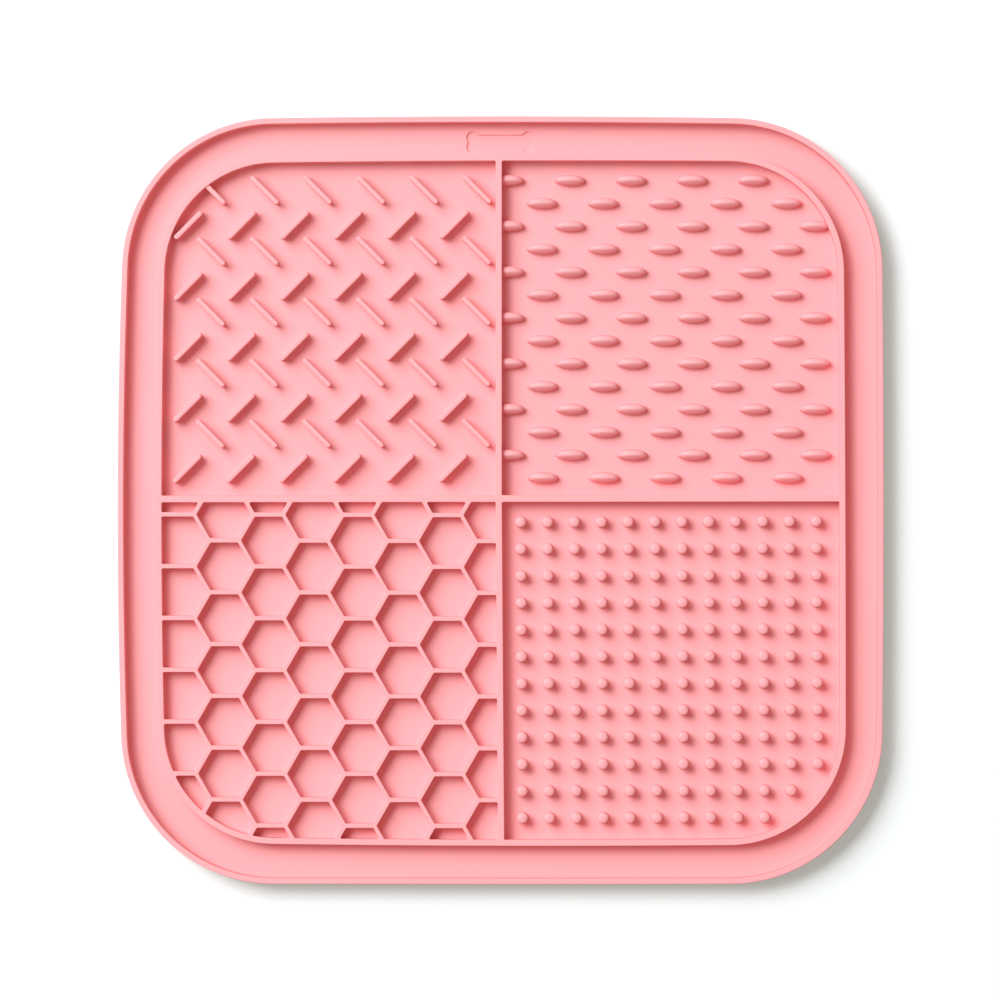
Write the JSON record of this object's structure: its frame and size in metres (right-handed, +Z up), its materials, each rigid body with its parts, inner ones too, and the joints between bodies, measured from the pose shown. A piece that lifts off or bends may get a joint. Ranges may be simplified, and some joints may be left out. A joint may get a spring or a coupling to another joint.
{
  "type": "silicone lick mat",
  "caption": "Flat square silicone lick mat: bowed rounded outline, raised lip, perimeter channel, inner ridge and a cross that parts bars, grains, honeycomb cells and nubs.",
  "frame": {"origin": "centre of the flat underside, on the surface the mat lies on", "axes": "+Z up out of the textured face, +Y towards the far side with the bone-shaped recess, +X right: bars far left, grains far right, honeycomb near left, nubs near right"},
  "size_m": [0.2, 0.2, 0.008],
  "materials": {
    "silicone": "matte moulded pink silicone"
  },
  "bodies": {
    "root": {"mat": "silicone"}
  },
  "joints": []
}
